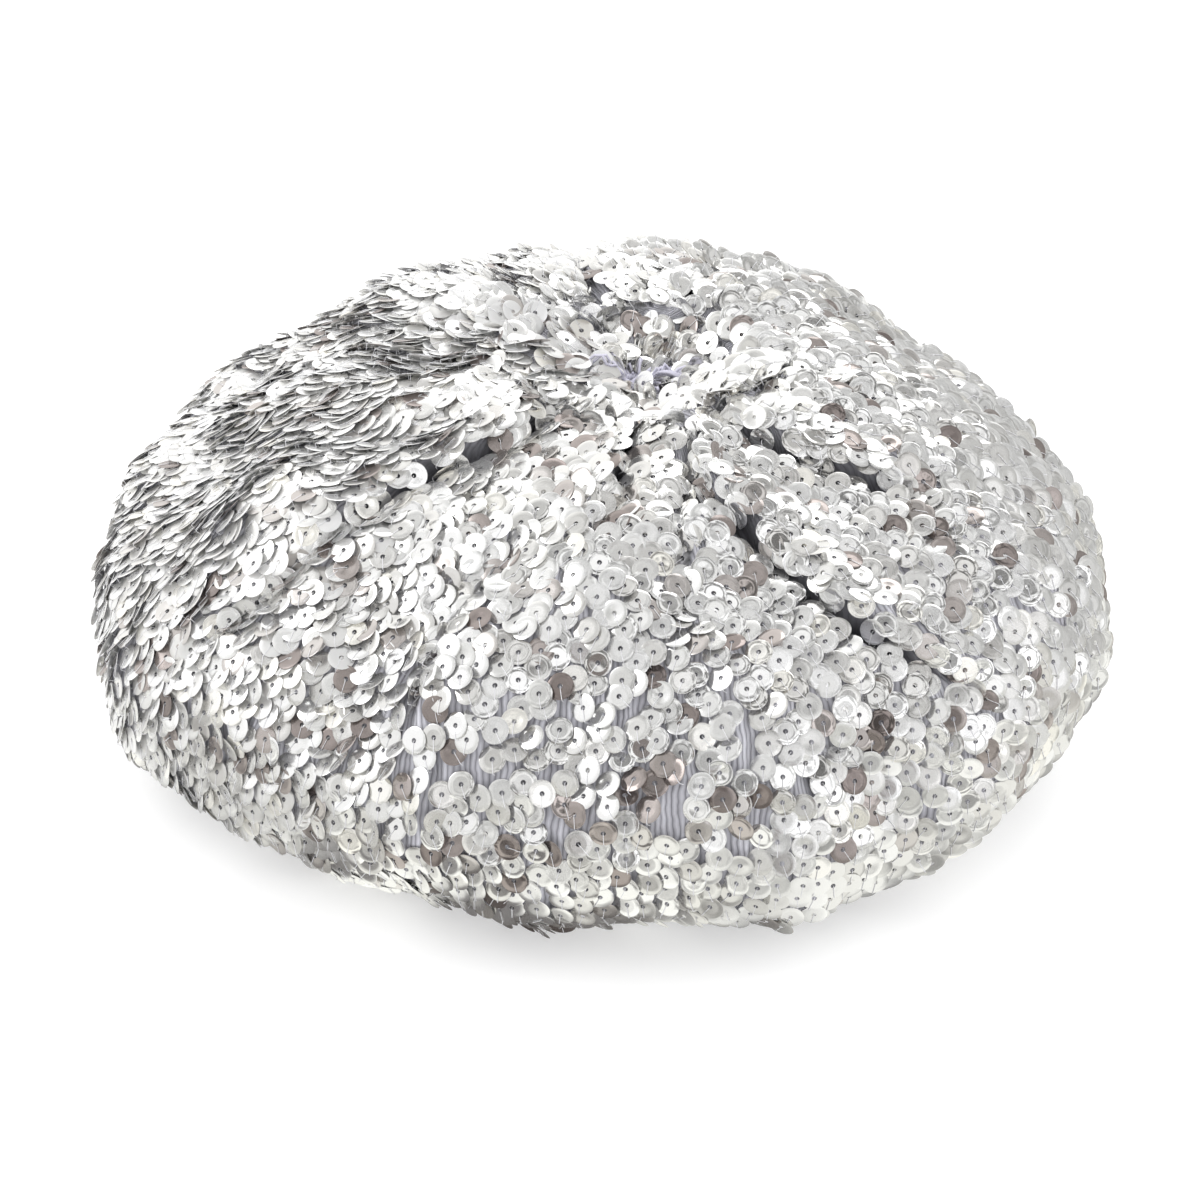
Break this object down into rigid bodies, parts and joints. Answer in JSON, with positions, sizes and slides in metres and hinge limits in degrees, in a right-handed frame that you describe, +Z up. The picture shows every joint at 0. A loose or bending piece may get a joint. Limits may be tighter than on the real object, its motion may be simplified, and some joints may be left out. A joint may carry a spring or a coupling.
{
  "type": "sequin beret",
  "caption": "Puffed knit beret covered in small overlapping silver sequins, gathered at the crown, with a ribbed headband folded up inside.",
  "frame": {"origin": "centre of the ring that the folded headband stands on", "axes": "+Z up through the gathered centre of the crown, +X to the wearer's left, -Y to the front"},
  "size_m": [0.2406, 0.2406, 0.0996],
  "materials": {
    "knit": "loose rib-like knit in pale grey yarn",
    "cord": "twisted pale grey yarn",
    "rib_knit": "ribbed knit",
    "elastic": "flat woven elastic",
    "thread": "spun sewing thread",
    "stringing": "fine smooth thread",
    "lining": "satin",
    "label": "woven tape, blank",
    "sequin": "mirror-bright silver film"
  },
  "bodies": {
    "root": {"body_knit": "knit", "gather_cord": "cord", "gather_knot": "cord", "headband_rib": "rib_knit", "headband_elastic": "elastic", "band_seam_thread": "thread", "lining_crown": "lining", "lining_side": "lining", "lining_seam_thread": "thread", "lining_hem_stitches": "thread", "care_label": "label", "label_stitches": "thread", "sequin_threads_gather": "stringing", "sequin_threads_crown": "stringing", "sequin_threads_side": "stringing", "sequin_threads_under": "stringing", "sequin_round_01": "sequin", "sequin_round_02": "sequin", "sequin_round_03": "sequin", "sequin_round_04": "sequin", "sequin_round_05": "sequin", "sequin_round_06": "sequin", "sequin_round_07": "sequin", "sequin_round_08": "sequin", "sequin_round_09": "sequin", "sequin_round_10": "sequin", "sequin_round_11": "sequin", "sequin_round_12": "sequin", "sequin_round_13": "sequin", "sequin_round_14": "sequin", "sequin_round_15": "sequin", "sequin_round_16": "sequin", "sequin_round_17": "sequin", "sequin_round_18": "sequin", "sequin_round_19": "sequin", "sequin_round_20": "sequin", "sequin_round_21": "sequin", "sequin_round_22": "sequin", "sequin_round_23": "sequin", "sequin_round_24": "sequin", "sequin_round_25": "sequin", "sequin_round_26": "sequin", "sequin_round_27": "sequin", "sequin_round_28": "sequin", "sequin_round_29": "sequin", "sequin_round_30": "sequin", "sequin_round_31": "sequin", "sequin_round_32": "sequin", "sequin_round_33": "sequin", "sequin_round_34": "sequin", "sequin_round_35": "sequin", "sequin_round_36": "sequin", "sequin_round_37": "sequin", "sequin_round_38": "sequin", "sequin_round_39": "sequin"}
  },
  "joints": []
}
